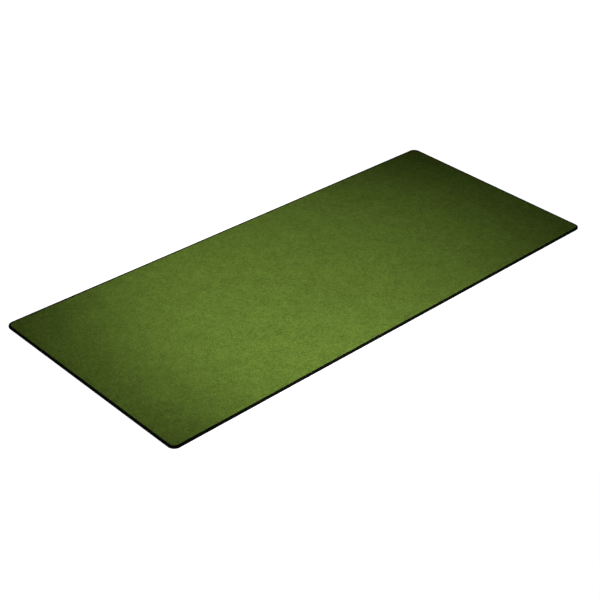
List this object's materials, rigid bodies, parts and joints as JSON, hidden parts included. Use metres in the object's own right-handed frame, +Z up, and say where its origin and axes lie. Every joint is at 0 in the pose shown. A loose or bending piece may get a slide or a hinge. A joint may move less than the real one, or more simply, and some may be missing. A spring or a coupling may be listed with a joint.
{
  "type": "golf hitting mat",
  "caption": "Thin rectangular golf hitting mat: short green pile on foam rubber with a grip underside and a black overlocked edge.",
  "frame": {"origin": "centre of the underside, on the floor the mat lies on", "axes": "+X along the mat's long side, +Y along its short side, +Z up, out of the pile"},
  "size_m": [1.2, 0.5, 0.005],
  "materials": {
    "grip_rubber": "matt, moulded grip texture",
    "bond_film": "matt, melted web",
    "foam_rubber": "matt, fine closed cells",
    "ground_cloth": "knitted ground",
    "green_pile": "short cut pile",
    "edge_thread": "textured filament thread"
  },
  "bodies": {
    "root": {"grip_base": "grip_rubber", "lower_bond_film": "bond_film", "foam_pad": "foam_rubber", "upper_bond_film": "bond_film", "pile_ground_cloth": "ground_cloth", "pile": "green_pile", "upper_looper_thread": "edge_thread", "lower_looper_thread": "edge_thread", "needle_thread": "edge_thread"}
  },
  "joints": []
}
